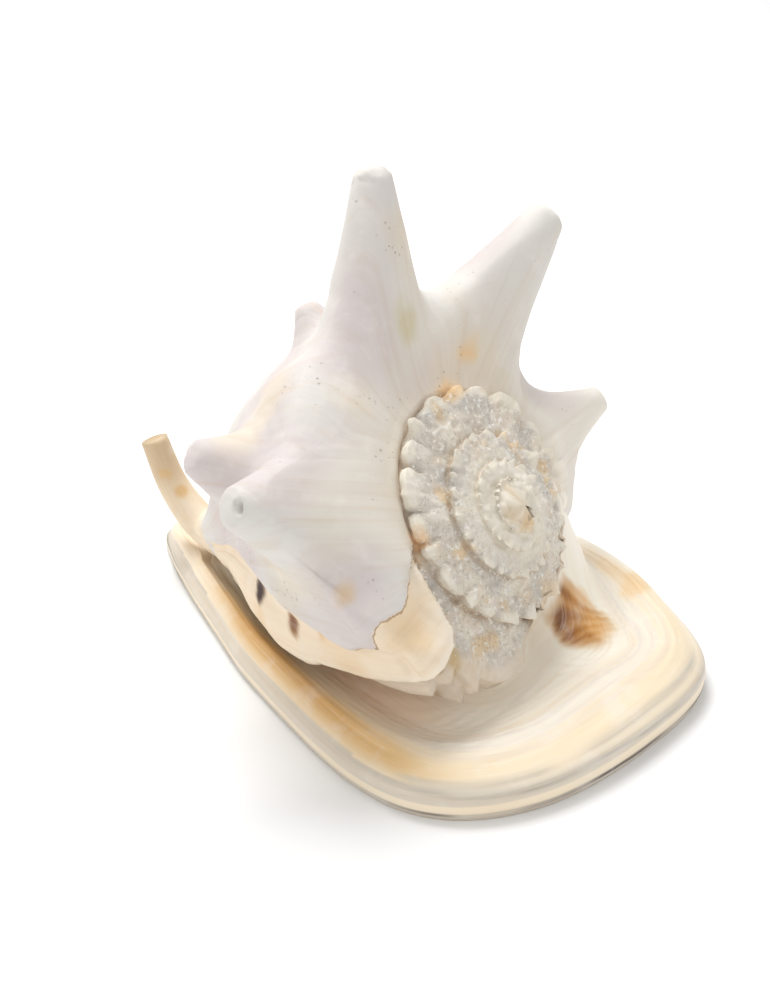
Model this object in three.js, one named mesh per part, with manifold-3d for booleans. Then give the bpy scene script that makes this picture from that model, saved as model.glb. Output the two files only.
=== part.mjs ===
// Horned helmet shell (Cassis cornuta), resting on its flat aperture side.
// Millimetres, +Z up, +Y towards the siphonal canal, +X towards the outer lip.
// The shell is one grown piece: a coiled spire and body whorl with horns, an old
// thickened lip (varix), a wide flat shield round the aperture, and a siphonal canal.

import * as THREE from "three";
import { LoftGeometry } from "three/addons/geometries/LoftGeometry.js";
import { mergeVertices } from "three/addons/utils/BufferGeometryUtils.js";
import Module from "manifold-3d";

const rad = THREE.MathUtils.degToRad;
const { lerp, smoothstep } = THREE.MathUtils;
const vec = (x, y, z) => new THREE.Vector3(x, y, z);

// ---- Driving dimensions -------------------------------------------------------

// Coiling axis: starts at the apex and runs forwards and down.
const APEX = vec(0, -39, 70);
const AXIS_TILT = rad(34);

// Growth angles are seen from the apex, clockwise from straight up. One turn is 360.
const VARIX_ANGLE = -110;
const VARIX_FADE = 45; // how far past the varix the new body takes to reach full size
const LIP_ANGLE = 130;
const TURNS = 5;
const STEPS_PER_TURN = 54;

// Spire: a log spiral.
const WHORL_GROWTH = 1.6; // radius factor per turn
const VARIX_RADIUS = 58.6; // shoulder radius where the spire ends at the varix
const SPIRE_SLOPE = 0.43; // height of the cone per unit of radius
const SUTURE_DROP = 0.1; // how far a shoulder stands above the next suture, per radius
const DRAWN_IN = { from: -264, full: -226, until: -180, to: -152, share: 0.2 }; // last old whorl
const NODULE_RISE = 0.045; // height of a shoulder nodule, per radius

// Body whorl after the varix.
const BODY_RADIUS = 70;
const BODY_SWELL = 8; // extra shoulder radius on the upper side
const SHOULDER_DEPTH = 30; // along the axis from the apex
const BODY_END = vec(0, 89.5, 17);
const BODY_BOW = vec(0, 40, 43); // pulls the centre line up
const BODY_ROWS = 14;
const TUCK_ANGLE = 98; // from here to the lip the shoulder draws in

// Side of the body from the shoulder (0) to the canal (1): share of the shoulder radius
// left over the top, above the old lip on the flank, and in the waist under the left horn.
const SIDE = [
  { at: 0, upper: 1, flank: 1, waist: 1 },
  { at: 0.15, upper: 0.917, flank: 1, waist: 0.89 },
  { at: 0.35, upper: 0.769, flank: 0.9, waist: 0.7 },
  { at: 0.5, upper: 0.646, flank: 0.76, waist: 0.52 },
  { at: 0.62, upper: 0.52, flank: 0.57, waist: 0.36 },
  { at: 0.72, upper: 0.4, flank: 0.38, waist: 0.24 },
  { at: 0.82, upper: 0.27, flank: 0.22, waist: 0.16 },
  { at: 0.93, upper: 0.15, flank: 0.13, waist: 0.12 },
  { at: 1, upper: 0.12, flank: 0.12, waist: 0.11 },
];
const FLANK = { angle: -116, spread: 18 };
const WAIST = { angle: -74, spread: 32 };

// Horns and knobs on the body: growth angle, base and tip as [radius, depth], radii at
// the base and near the tip, and the swelling of the body round the foot.
const HORNS = [
  { angle: -57, base: [46, 40], tip: [94, 37], thick: 18, thin: 8, swell: 15, spread: 24 },
  { angle: 9, base: [52, 36], tip: [117, 2], thick: 17, thin: 6.5, swell: 16, spread: 22 },
  { angle: 50, base: [50, 32], tip: [114, -4], thick: 19, thin: 5.5, swell: 15, spread: 24 },
  { angle: 85, base: [44, 30], tip: [78, 8], thick: 15, thin: 6, swell: 11, spread: 20 },
  { angle: -41, base: [46, 60], tip: [90, 61], thick: 15, thin: 6, swell: 11, spread: 20 },
  { angle: 8, base: [60, 52], tip: [91, 50], thick: 14, thin: 5, swell: 9, spread: 18 },
];
// Share of the way along a horn, and how much of the thick-to-thin change is left.
const HORN_FORM = [[0, 1.2], [0.3, 0.95], [0.5, 0.55], [0.7, 0.26], [0.9, 0.05], [0.97, -0.15]];

const SWELL_ZONE = [54, 70]; // radii between which the swelling fades in

// Varix: the old lip, swept along the left flank.
const VARIX_PATH = [
  vec(-10, -10, 48),
  vec(-28, -22, 51),
  vec(-47, -33, 48),
  vec(-54, -27, 40),
  vec(-53, -11, 29),
  vec(-46, 8, 24),
  vec(-38, 26, 20),
  vec(-25, 46, 18),
  vec(-8, 68, 17),
];
const VARIX_THICK = 6;

// Siphonal canal, curving up at the far end.
const CANAL_PATH = [
  vec(1, 70, 25),
  vec(2, 86, 20.5),
  vec(4, 100, 24.5),
  vec(4.5, 109, 35),
  vec(4.5, 115, 51),
];
const CANAL_THICK = [9, 7.6, 6.6, 5.8, 5];

// Shield and outer lip: stations round the outline, and the section there as
// [inset, height] pairs: crest, dish behind it, foot of the body, and a point inside it.
const SHIELD = [
  { at: [16, 121], rim: 6, crest: [8, 11], dish: [15, 9.5], foot: [22, 10], last: [28, 13] },
  { at: [1, 109], rim: 7, crest: [7, 12], dish: [12, 10], foot: [16, 10], last: [19, 13] },
  { at: [-14, 90], rim: 8, crest: [8, 13], dish: [12.5, 10], foot: [16, 11], last: [18.5, 15] },
  { at: [-30, 67], rim: 8, crest: [9, 13], dish: [19, 8], foot: [28, 10], last: [33, 14] },
  { at: [-49, 38], rim: 8, crest: [10, 13], dish: [24, 8], foot: [38, 11], last: [48, 14] },
  { at: [-76, -18], rim: 9, crest: [14, 14], dish: [29, 10], foot: [44, 15], last: [52, 20] },
  { at: [-77, -52], rim: 10, crest: [20, 15], dish: [35, 11], foot: [50, 15], last: [58, 21] },
  { at: [-54, -78], rim: 11, crest: [23, 16], dish: [38, 13], foot: [53, 16], last: [61, 22] },
  { at: [-13, -93], rim: 12, crest: [22, 17], dish: [36, 14], foot: [52, 17], last: [61, 23] },
  { at: [27, -95], rim: 12, crest: [15, 18], dish: [30, 15], foot: [47, 21], last: [58, 32] },
  { at: [54, -71], rim: 12, crest: [11, 19], dish: [21, 17], foot: [36, 28], last: [47, 43] },
  { at: [70, -40], rim: 13, crest: [9, 20], dish: [16, 19], foot: [27, 37], last: [37, 57] },
  { at: [78, 0], rim: 13, crest: [8, 19], dish: [15, 21], foot: [25, 42], last: [35, 62] },
  { at: [72, 45], rim: 13, crest: [8, 17], dish: [15, 20], foot: [27, 38], last: [37, 52] },
  { at: [52, 82], rim: 11, crest: [8, 15], dish: [17, 16], foot: [28, 26], last: [37, 35] },
  { at: [32, 110], rim: 8, crest: [8, 12], dish: [15, 11], foot: [23, 14], last: [29, 18] },
];
const SHIELD_SAMPLES = 84;
const SHIELD_SPINE = new THREE.Line3(vec(4, -30, 0), vec(6, 88, 0));
// Height of the shield's middle, hidden inside the body, at each y.
const SPINE_HEIGHT = [[-30, 45], [0, 45], [40, 35], [66, 22], [80, 16], [88, 13]];

// Underside: a shallow hollow inside a flat bearing rim, and the aperture.
const BEARING_RIM = 10;
const HOLLOW_HEIGHT = 5;
const APERTURE = { centre: vec(14, 22, 0), half: vec(12, 62, 34) };

// The hollow of the body whorl: its wall, and its reach along the body's centre line.
const WALL = 9;
const CAVITY_REACH = [0.14, 0.72];
const TEETH = { first: -20, pitch: 13, count: 7, half: vec(8, 3.4, 6) };

// ---- Frame of the coil --------------------------------------------------------

const axisDir = vec(0, Math.cos(AXIS_TILT), -Math.sin(AXIS_TILT));
const coilUp = vec(0, Math.sin(AXIS_TILT), Math.cos(AXIS_TILT));
const right = vec(1, 0, 0);

// The unit vector away from the axis at a growth angle in degrees.
const radial = (angle) =>
  coilUp.clone().multiplyScalar(Math.cos(rad(angle))).addScaledVector(right, Math.sin(rad(angle)));

const coilPoint = (angle, radius, depth) =>
  APEX.clone().addScaledVector(axisDir, depth).addScaledVector(radial(angle), radius);

// Shoulder radius of the old whorls at a growth angle; the last one is drawn in low down.
function spireRadius(angle) {
  const { from, full, until, to, share } = DRAWN_IN;
  const drawn = smoothstep(angle, from, full) * (1 - smoothstep(angle, until, to));
  return VARIX_RADIUS * WHORL_GROWTH ** ((angle - VARIX_ANGLE) / 360) * (1 - share * drawn);
}

// 0 before the varix, 1 after it.
const afterVarix = (angle) => smoothstep(angle, VARIX_ANGLE - 4, VARIX_ANGLE + VARIX_FADE);

// 0 on the body, 1 where its shoulder has drawn in at the lip.
const tucked = (angle) => smoothstep(angle, TUCK_ANGLE, LIP_ANGLE);

function shoulderRadius(angle) {
  const body = BODY_RADIUS + BODY_SWELL * Math.cos(rad(angle - 10));
  const full = lerp(spireRadius(angle), body, afterVarix(angle));
  return lerp(full, spireRadius(LIP_ANGLE - 360), tucked(angle));
}

const oldShoulderDepth = (angle) => (SPIRE_SLOPE - SUTURE_DROP) * spireRadius(angle);

function shoulderDepth(angle) {
  const full = lerp(oldShoulderDepth(angle), SHOULDER_DEPTH, afterVarix(angle));
  return lerp(full, oldShoulderDepth(LIP_ANGLE - 360), tucked(angle));
}

// ---- Coiled body: whorl bands welded along their sutures, then the body's side ---

// Steps across a whorl band: share of the way out, and of the way down.
const BAND = [
  { out: 0.12, down: 0.02 },
  { out: 0.5, down: 0.45 },
  { out: 0.97, down: 1 },
];

const bodyStart = APEX.clone().addScaledVector(axisDir, SHOULDER_DEPTH);
const bodyCentre = new THREE.QuadraticBezierCurve3(bodyStart, BODY_BOW, BODY_END);
const nearness = (angle, { angle: middle, spread }) => Math.exp(-(((angle - middle) / spread) ** 2));

// The value of a polyline of [x, y] points at x.
function along(points, x) {
  const next = points.findIndex(([at]) => at >= x);
  const k = next < 0 ? points.length - 1 : Math.max(1, next);
  const [[x0, y0], [x1, y1]] = [points[k - 1], points[k]];
  return lerp(y0, y1, THREE.MathUtils.clamp((x - x0) / (x1 - x0), 0, 1));
}

// Share of the shoulder radius left at v, fuller on the flank and narrower in the waist.
function bodyScale(v, angle) {
  const at = (side) => along(SIDE.map((row) => [row.at, row[side]]), v);
  const scale = lerp(at("upper"), at("waist"), nearness(angle, WAIST));
  return lerp(scale, at("flank"), nearness(angle, FLANK));
}

function coiledBody() {
  const n = STEPS_PER_TURN;
  const across = BAND.length + 1; // the last one is the suture below the shoulder
  const total = TURNS * n;
  const vertices = [APEX.clone()];
  const triangles = [];
  const angleOf = (i) => LIP_ANGLE - ((total - i) * 360) / n;
  const index = (i, j) => {
    if (j === 0) return i < n ? 0 : index(i - n, across);
    return i === 0 && j < across ? 0 : 1 + i * across + (j - 1);
  };

  for (let i = 0; i <= total; i++) {
    const angle = angleOf(i);
    const inner = spireRadius(angle - 360);
    const outer = shoulderRadius(angle);
    const top = SPIRE_SLOPE * inner;
    const crest = shoulderDepth(angle);
    const nodule = i % 2 ? 0 : NODULE_RISE * outer * (1 - afterVarix(angle));
    BAND.forEach(({ out, down }, k) => {
      const rise = k === BAND.length - 1 ? nodule : 0;
      vertices.push(coilPoint(angle, lerp(inner, outer, out) + rise, lerp(top, crest, down) - rise));
    });
    const suture = lerp(SPIRE_SLOPE * spireRadius(angle), SHOULDER_DEPTH + 4, afterVarix(angle));
    vertices.push(coilPoint(angle, outer, suture));
  }
  const quad = (a, b, c, d) => triangles.push(a, c, b, a, d, c);
  for (let i = 0; i < total; i++)
    for (let j = 0; j < across; j++)
      quad(index(i, j), index(i, j + 1), index(i + 1, j + 1), index(i + 1, j));

  // The outer edge of the last turn, then across the step at the lip back to the start.
  const loop = [];
  for (let i = total - n; i < total; i++) loop.push({ start: index(i, across), angle: angleOf(i) });
  for (let j = across; j > 0; j--) loop.push({ start: index(total, j), angle: LIP_ANGLE });

  // The side: each row moves the loop along the body's centre line and shrinks it.
  let previous = loop.map(({ start }) => start);
  for (let row = 1; row <= BODY_ROWS; row++) {
    const v = row / BODY_ROWS;
    const middle = bodyCentre.getPoint(v);
    const current = loop.map(({ start, angle }) => {
      const arm = vertices[start].clone().sub(bodyStart);
      arm.addScaledVector(axisDir, -arm.dot(axisDir) * Math.min(1, v * 3));
      vertices.push(middle.clone().addScaledVector(arm, bodyScale(v, angle)));
      return vertices.length - 1;
    });
    loop.forEach((_, k) => {
      const next = (k + 1) % loop.length;
      quad(previous[k], current[k], current[next], previous[next]);
    });
    previous = current;
  }
  vertices.push(BODY_END.clone());
  previous.forEach((_, k) =>
    triangles.push(previous[k], previous[(k + 1) % previous.length], vertices.length - 1));

  vertices.forEach(swellAtHorns);
  const geometry = new THREE.BufferGeometry().setFromPoints(vertices);
  geometry.setIndex(triangles);
  return geometry;
}

// Pulls a point of the body outwards round the foot of each horn, but not the spire.
function swellAtHorns(point) {
  const fromApex = point.clone().sub(APEX);
  const radius = fromApex.addScaledVector(axisDir, -fromApex.dot(axisDir)).length();
  const onBody = smoothstep(radius, ...SWELL_ZONE);
  for (const { angle, base, tip, swell, spread } of HORNS) {
    const start = coilPoint(angle, ...base);
    const out = coilPoint(angle, ...tip).sub(start).normalize();
    const arm = point.clone().sub(start);
    const height = arm.dot(out);
    if (height < -5) continue;
    const away = arm.addScaledVector(out, -height).length();
    point.addScaledVector(out, onBody * swell * Math.exp(-((away / spread) ** 2)));
  }
}

// The hollow inside the body whorl, one wall thickness in from its side.
function cavity() {
  const sides = 24;
  const rows = 8;
  const sections = Array.from({ length: rows + 1 }, (_, row) => {
    const v = lerp(...CAVITY_REACH, row / rows);
    const middle = bodyCentre.getPoint(v);
    return Array.from({ length: sides }, (_, i) => {
      const angle = LIP_ANGLE - 360 * (1 - i / sides);
      const radius = Math.max(4, shoulderRadius(angle) * bodyScale(v, angle) - WALL);
      return middle.clone().addScaledVector(radial(angle), radius);
    });
  });
  return new LoftGeometry(sections, { closed: true, capStart: true, capEnd: true });
}

// ---- Round parts: horns, varix and canal --------------------------------------

// A tube of circles across a path, with a radius at each point of the path.
function taperedTube(points, radii, sides = 16) {
  const path = new THREE.CatmullRomCurve3(points);
  const last = points.length - 1;
  let across = vec(1, 0, 0);
  const sections = points.map((point, k) => {
    const ahead = path.getTangent(k / last);
    if (Math.abs(ahead.dot(across)) > 0.9) across = vec(0, 0, 1);
    const side = across.clone().addScaledVector(ahead, -across.dot(ahead)).normalize();
    across = side;
    const up = ahead.clone().cross(side);
    return Array.from({ length: sides }, (_, i) => {
      const turn = (i / sides) * 2 * Math.PI;
      return point.clone()
        .addScaledVector(side, radii[k] * Math.cos(turn))
        .addScaledVector(up, radii[k] * Math.sin(turn));
    });
  });
  return new LoftGeometry(sections, { closed: true, capStart: true, capEnd: true });
}

function horn({ angle, base, tip, thick, thin }) {
  const start = coilPoint(angle, ...base);
  const end = coilPoint(angle, ...tip);
  const points = HORN_FORM.map(([share]) => start.clone().lerp(end, share));
  points.push(end);
  const radii = HORN_FORM.map(([, left]) => lerp(thin, thick, left));
  radii.push(thin * 0.45);
  return taperedTube(points, radii);
}

function varix() {
  const path = new THREE.CatmullRomCurve3(VARIX_PATH);
  const points = path.getPoints(24);
  return taperedTube(points, points.map(() => VARIX_THICK), 10);
}

function canal() {
  const path = new THREE.CatmullRomCurve3(CANAL_PATH);
  const points = path.getPoints(12);
  const widths = new THREE.CatmullRomCurve3(CANAL_THICK.map((r, i) => vec(r, i, 0)));
  return taperedTube(points, points.map((_, k) => widths.getPoint(k / 12).x), 16);
}

// ---- Shield and outer lip -----------------------------------------------------

const through = (pick) =>
  new THREE.CatmullRomCurve3(SHIELD.map((s) => vec(...pick(s), 0)), true)
    .getPoints(SHIELD_SAMPLES)
    .slice(0, -1);

const outline = through((s) => s.at);

// Distance from each sample to the spine.
const reach = outline.map((p) => SHIELD_SPINE.closestPointToPoint(p, true, vec()).distanceTo(p));

// A closed ring inside the outline: inset and height per sample.
const ring = (inset, height) =>
  outline.map((point, k) => {
    const target = SHIELD_SPINE.closestPointToPoint(point, true, vec());
    const inwards = target.sub(point).setLength(inset(k));
    return point.clone().add(inwards).setZ(height(k));
  });

function shield() {
  const rim = through((s) => [s.rim, 0]);
  const crest = through((s) => s.crest);
  const dish = through((s) => s.dish);
  const foot = through((s) => s.foot);
  const last = through((s) => s.last);
  const towardsSpine = (share) => ring(
    (k) => lerp(last[k].x, 0.85 * reach[k], share),
    (k) => lerp(last[k].y, along(SPINE_HEIGHT, outline[k].y), share));
  const rings = [
    ring(() => 1.5, () => 0),
    ring(() => 0, (k) => rim[k].x * 0.35),
    ring(() => 0.5, (k) => rim[k].x * 0.7),
    ring(() => 3, (k) => rim[k].x),
    ring((k) => crest[k].x * 0.6, (k) => lerp(rim[k].x, crest[k].y, 0.75)),
    ring((k) => crest[k].x, (k) => crest[k].y),
    ring((k) => lerp(crest[k].x, dish[k].x, 0.5), (k) => lerp(crest[k].y, dish[k].y, 0.6)),
    ring((k) => dish[k].x, (k) => dish[k].y),
    ring((k) => lerp(dish[k].x, foot[k].x, 0.6), (k) => lerp(dish[k].y, foot[k].y, 0.4)),
    ring((k) => foot[k].x, (k) => foot[k].y),
    ring((k) => last[k].x, (k) => last[k].y),
    towardsSpine(0.5),
    towardsSpine(1),
  ];
  return new LoftGeometry(rings, { closed: true, capStart: true, capEnd: true });
}

// The shallow hollow under the shield.
function hollow() {
  const rings = [[0, -1], [1, 3], [8, 4], [24, HOLLOW_HEIGHT]].map(([extra, height]) =>
    ring((k) => Math.min(BEARING_RIM + extra, 0.85 * reach[k]), () => height));
  return new LoftGeometry(rings, { closed: true, capStart: true, capEnd: true });
}

const ellipsoid = ({ centre, half }, round = 24) =>
  new THREE.SphereGeometry(1, round, round / 2).scale(...half).translate(...centre);

// Teeth down both sides of the aperture, larger on the outer lip.
function teeth() {
  return Array.from({ length: TEETH.count }, (_, k) => {
    const y = TEETH.first + k * TEETH.pitch;
    const reach = APERTURE.half.x * Math.sqrt(1 - ((y - APERTURE.centre.y) / APERTURE.half.y) ** 2);
    const lip = { centre: vec(APERTURE.centre.x + reach + 1, y, 9), half: TEETH.half };
    const foldHalf = TEETH.half.clone().multiplyScalar(0.65);
    const fold = { centre: vec(APERTURE.centre.x - reach, y + 6, 9), half: foldHalf };
    return [ellipsoid(lip, 12), ellipsoid(fold, 10)];
  }).flat();
}

// ---- Solids -------------------------------------------------------------------

const wasm = await Module();
wasm.setup();

function solidOf(geometry) {
  const plain = new THREE.BufferGeometry().setAttribute("position", geometry.getAttribute("position"));
  if (geometry.index) plain.setIndex(geometry.index);
  const merged = mergeVertices(plain, 1e-3);
  const index = merged.index.array;
  const kept = [];
  for (let i = 0; i < index.length; i += 3) {
    const [a, b, c] = index.slice(i, i + 3);
    if (a !== b && b !== c && a !== c) kept.push(a, b, c);
  }
  const vertProperties = merged.attributes.position.array;
  return new wasm.Manifold(new wasm.Mesh({ numProp: 3, vertProperties, triVerts: new Uint32Array(kept) }));
}

function geometryOf(solid) {
  const mesh = solid.getMesh();
  const geometry = new THREE.BufferGeometry();
  geometry.setAttribute("position", new THREE.BufferAttribute(mesh.vertProperties, 3));
  geometry.setIndex(new THREE.BufferAttribute(mesh.triVerts, 1));
  geometry.computeVertexNormals();
  return geometry;
}

const grown = [coiledBody(), ...HORNS.map(horn), varix(), canal(), shield()];
const cut = [hollow(), ellipsoid(APERTURE), cavity()];
const joinAll = (geometries) => geometries.map(solidOf).reduce((a, b) => a.add(b));
const whole = joinAll(grown).subtract(joinAll(cut)).add(joinAll(teeth()));

const shellMaterial = new THREE.MeshStandardMaterial({ color: 0xe9dfd6, roughness: 0.55, metalness: 0 });
const shell = new THREE.Group();
const mesh = new THREE.Mesh(geometryOf(whole), shellMaterial);
mesh.name = "helmet_shell";
shell.add(mesh);

// The origin is the middle of the footprint, on the ground.
const bounds = new THREE.Box3().setFromObject(mesh);
const middle = bounds.getCenter(vec());
mesh.geometry.translate(-middle.x, -middle.y, -bounds.min.z);

export default shell;
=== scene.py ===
"""Horned helmet shell (Cassis cornuta): the finished shell, its material, floor, lights and camera.

The shell is one grown piece. Its surface is built in the coil's own frame, in millimetres:
bands that spiral down from the apex, the side of the body whorl, the canal, and the flat
shield round the aperture. It is then hollowed out and moved to the row frame, in metres.
"""
import itertools
import math

import bpy
import numpy as np
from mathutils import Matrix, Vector
from mathutils.kdtree import KDTree


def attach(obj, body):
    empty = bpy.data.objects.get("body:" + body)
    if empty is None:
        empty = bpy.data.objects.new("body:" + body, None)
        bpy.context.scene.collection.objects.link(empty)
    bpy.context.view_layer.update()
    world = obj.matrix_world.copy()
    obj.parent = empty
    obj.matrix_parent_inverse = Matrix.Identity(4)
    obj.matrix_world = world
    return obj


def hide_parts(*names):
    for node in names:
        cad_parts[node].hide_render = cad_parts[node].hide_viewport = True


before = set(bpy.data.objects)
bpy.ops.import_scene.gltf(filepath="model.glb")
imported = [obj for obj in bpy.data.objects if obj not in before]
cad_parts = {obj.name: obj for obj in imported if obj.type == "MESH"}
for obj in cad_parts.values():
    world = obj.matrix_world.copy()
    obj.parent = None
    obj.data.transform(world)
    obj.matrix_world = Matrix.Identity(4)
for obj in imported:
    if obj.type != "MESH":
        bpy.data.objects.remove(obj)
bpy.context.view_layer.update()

# ---- Coil frame ----------------------------------------------------------------------

ROW_ORIGIN = np.array([3.99, 12.13, 0.0])  # the row frame's origin, seen from the coil frame
APEX = np.array([0.0, -39.0, 70.0])
AXIS_TILT = math.radians(34)
AXIS = np.array([0, math.cos(AXIS_TILT), -math.sin(AXIS_TILT)])
COIL_UP = np.array([0, math.sin(AXIS_TILT), math.cos(AXIS_TILT)])
RIGHT = np.array([1.0, 0, 0])

# ---- Growth of the coil: angles in degrees, one turn is 360 ----------------------------

VARIX_ANGLE, LIP_ANGLE, TURNS = -110.0, 130.0, 5
WHORL_GROWTH = 1.6          # radius factor per turn
VARIX_RADIUS = 58.6         # shoulder radius where the old whorls end
SPIRE_SLOPE = 0.43          # height of the cone per unit of radius
SUTURE_DROP = 0.10          # how far a shoulder stands above the next suture
BODY_RADIUS, BODY_SWELL = 70.0, 8.0
SHOULDER_DEPTH = 30.0
TUCK_ANGLE = 98.0           # from here to the lip the shoulder draws in
BODY_BOW, BODY_END = np.array([0, 40.0, 43.0]), np.array([0, 89.5, 17.0])
CANAL_PATH = [[0, 82.5, 21.5], [3, 92, 20.5], [4, 100, 24.5], [4.5, 108.5, 34.5], [4.5, 115, 50.5]]
CANAL_RADII = [7.6, 6.9, 6.3, 5.5, 4.9]

STEPS, RAMP_ROWS, SIDE_ROWS, CANAL_ROWS = 470, 38, 90, 44

# Side of the body from the shoulder (0) to the canal (1): share of the shoulder radius left,
# over the top, above the old lip on the flank, and in the waist below the left horn.
SIDE_AT = [0, 0.08, 0.15, 0.25, 0.35, 0.5, 0.62, 0.72, 0.82, 0.93, 1]
SIDE_UPPER = [1, 0.965, 0.917, 0.846, 0.769, 0.646, 0.52, 0.40, 0.27, 0.15, 0.12]
SIDE_FLANK = [1, 1.01, 1.0, 0.955, 0.9, 0.76, 0.57, 0.38, 0.22, 0.13, 0.12]
SIDE_WAIST = [1, 0.95, 0.89, 0.80, 0.70, 0.52, 0.36, 0.24, 0.16, 0.12, 0.11]

# Horns: foot and tip as (growth angle, radius, depth), width of the foot, slimness.
HORNS = {
    "left": dict(foot=(-57, 70, 33), tip=(-57, 94, 37), reach=33, slim=1.05),
    "top": dict(foot=(9, 72, 27), tip=(9, 118, 2), reach=34, slim=0.95),
    "right": dict(foot=(44, 71, 25), tip=(50, 114, -4), reach=36, slim=1.0),
    "far_right": dict(foot=(84, 64, 25), tip=(85, 80, 8), reach=28, slim=0.85),
    "knob_left": dict(foot=(-40, 66, 57), tip=(-41, 89, 61), reach=29, slim=1.05),
    "knob_top": dict(foot=(8, 72, 50), tip=(8, 89, 50), reach=24, slim=0.9),
}
HORN_HOLE = np.array([-80.0, 15.0, 94.5])
# Outline of a horn: how far out from its middle (share of reach), how high (share of length).
HORN_PROFILE = np.array([[1, 0], [0.8, 0.02], [0.62, 0.1], [0.47, 0.25], [0.37, 0.45], [0.28, 0.68],
                         [0.21, 0.88], [0.185, 0.945], [0.12, 0.985], [0, 1]])

# Edges of the old lip and of the newest layer: growth angle against how far out on the
# ramp (0-1), down the side (1-2) and along the canal (2-3).
LIP_AT = [0, 0.07, 0.18, 0.25, 0.39, 0.57, 0.89, 1.0, 1.1, 1.2, 1.3, 1.4, 1.5, 1.65, 2, 3]
OLD_EDGE = [-74, -79, -95, -104, -113, -116, -116, -115.5, -115.5, -116.5, -118, -120, -121, -123, -128, -135]
NEW_EDGE = [-73, -77, -84, -88, -91, -93, -92, -97, -100, -98, -94, -85, -78, -74, -70, -60]

# Nodules on the old whorls, and the pleats they become near the old lip.
NODULE_SPACING_OLD, NODULE_SPACING_NEW, SPACING_CHANGE = 15.5, 17.5, -430.0
NODULES_TURN_ROUND, NODULES_TURN_PLEAT = (-500, -455), (-290, -240)

# ---- Shield round the aperture ---------------------------------------------------------

# Stations round the outline: point, rim height, then (inset, height) of the crest, the dish
# behind it, the foot of the body, and a last point inside the body.
SHIELD = [
    [16, 121, 6, 8, 11, 15, 9.5, 22, 10, 28, 13],
    [1, 109, 7, 7, 12, 12, 10, 16, 10, 19, 13],
    [-14, 90, 8, 8, 13, 12.5, 10, 16, 11, 18.5, 15],
    [-30, 67, 8, 9, 13, 19, 8, 28, 10, 33, 14],
    [-49, 38, 8, 10, 13, 24, 8, 38, 11, 48, 14],
    [-76, -18, 9, 14, 14, 29, 10, 44, 15, 52, 20],
    [-77, -52, 10, 20, 15, 35, 11, 50, 15, 58, 21],
    [-54, -78, 11, 23, 16, 38, 13, 53, 16, 61, 22],
    [-13, -93, 12, 22, 17, 36, 14, 52, 17, 61, 23],
    [27, -95, 12, 15, 18, 30, 15, 47, 21, 58, 32],
    [54, -71, 12, 11, 19, 21, 17, 36, 28, 47, 43],
    [70, -40, 13, 9, 20, 16, 19, 27, 37, 37, 57],
    [78, 0, 13, 8, 19, 15, 21, 25, 42, 35, 62],
    [72, 45, 13, 8, 17, 15, 20, 27, 38, 37, 52],
    [52, 82, 11, 8, 15, 17, 16, 28, 26, 37, 35],
    [32, 110, 8, 8, 12, 15, 11, 23, 14, 29, 18],
]
SHIELD_SAMPLES, SHIELD_ROWS, FLOOR_ROWS = 640, 64, 40
SPINE = np.array([[4.0, -30.0], [6.0, 88.0]])
SPINE_HEIGHT = [[-30, 0, 40, 66, 80, 88], [45, 45, 35, 22, 16, 13]]   # inside the body, at y
BEARING_RIM, HOLLOW_HEIGHT = 10.0, 5.0
RIM_SHEETS = [(0.33, 0.9), (0.58, 0.5), (0.82, 0.35)]   # grooves round the rim: level, depth
SLOT_CENTRE, SLOT_HALF = np.array([14.0, 22.0]), np.array([12.0, 62.0, 34.0])
TOOTH_FIRST, TOOTH_PITCH, TOOTH_COUNT = -20.0, 13.0, 7
WALL, CAVITY_REACH = 9.0, (0.14, 0.8)

# ---- Colours (sRGB) --------------------------------------------------------------------

CHALK, LAVENDER, WARM = (0.865, 0.85, 0.825), (0.82, 0.775, 0.77), (0.87, 0.82, 0.74)
CREAM, TAN = (0.94, 0.87, 0.77), (0.86, 0.70, 0.48)
BROWN, DARK = (0.45, 0.25, 0.09), (0.16, 0.07, 0.02)
SLATE, NODULE, SKIRT = (0.745, 0.73, 0.71), (0.89, 0.86, 0.80), (0.85, 0.79, 0.71)
DISH, PEACH, YELLOW = (0.95, 0.89, 0.79), (0.92, 0.80, 0.70), (0.96, 0.88, 0.72)
PALE, GREY_RIM, IVORY = (0.92, 0.90, 0.86), (0.76, 0.725, 0.67), (0.97, 0.95, 0.90)
APEX_TAN, SUTURE_SHADE, LIP_FOOT_SHADE = (0.84, 0.76, 0.64), (0.62, 0.50, 0.38), (0.56, 0.42, 0.28)
CANAL, CANAL_TIP, STAIN_ORANGE = (0.88, 0.80, 0.68), (0.80, 0.70, 0.56), (0.85, 0.62, 0.34)
STAIN_TAN, STAIN_BROWN, TERRACE_LINE = (0.66, 0.42, 0.16), (0.50, 0.27, 0.08), (0.90, 0.84, 0.78)
TERRACE_GREY, ROLL_BAND, ROLL_END = (0.84, 0.80, 0.78), (0.85, 0.67, 0.42), (0.90, 0.74, 0.49)
ROLL_STREAK, REAR_BAND, REAR_SPOT = (0.88, 0.73, 0.52), (0.88, 0.72, 0.50), (0.93, 0.76, 0.52)
RIM, RIM_GAP_SHADE, RIM_GAP_SHADE_LEFT = (0.83, 0.79, 0.73), (0.36, 0.32, 0.29), (0.55, 0.47, 0.42)
THROAT, THROAT_STREAK, CRACK = (0.94, 0.79, 0.60), (0.87, 0.66, 0.45), (0.55, 0.42, 0.30)
PIT, GRAIN, SPECK = (0.45, 0.40, 0.36), (0.47, 0.455, 0.44), (0.93, 0.92, 0.89)
WARM_STREAK, GREY_LINE, PALE_LINE = (0.93, 0.84, 0.72), (0.80, 0.76, 0.72), (0.97, 0.95, 0.92)
PALE_CLOUD = (0.96, 0.94, 0.92)

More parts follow.
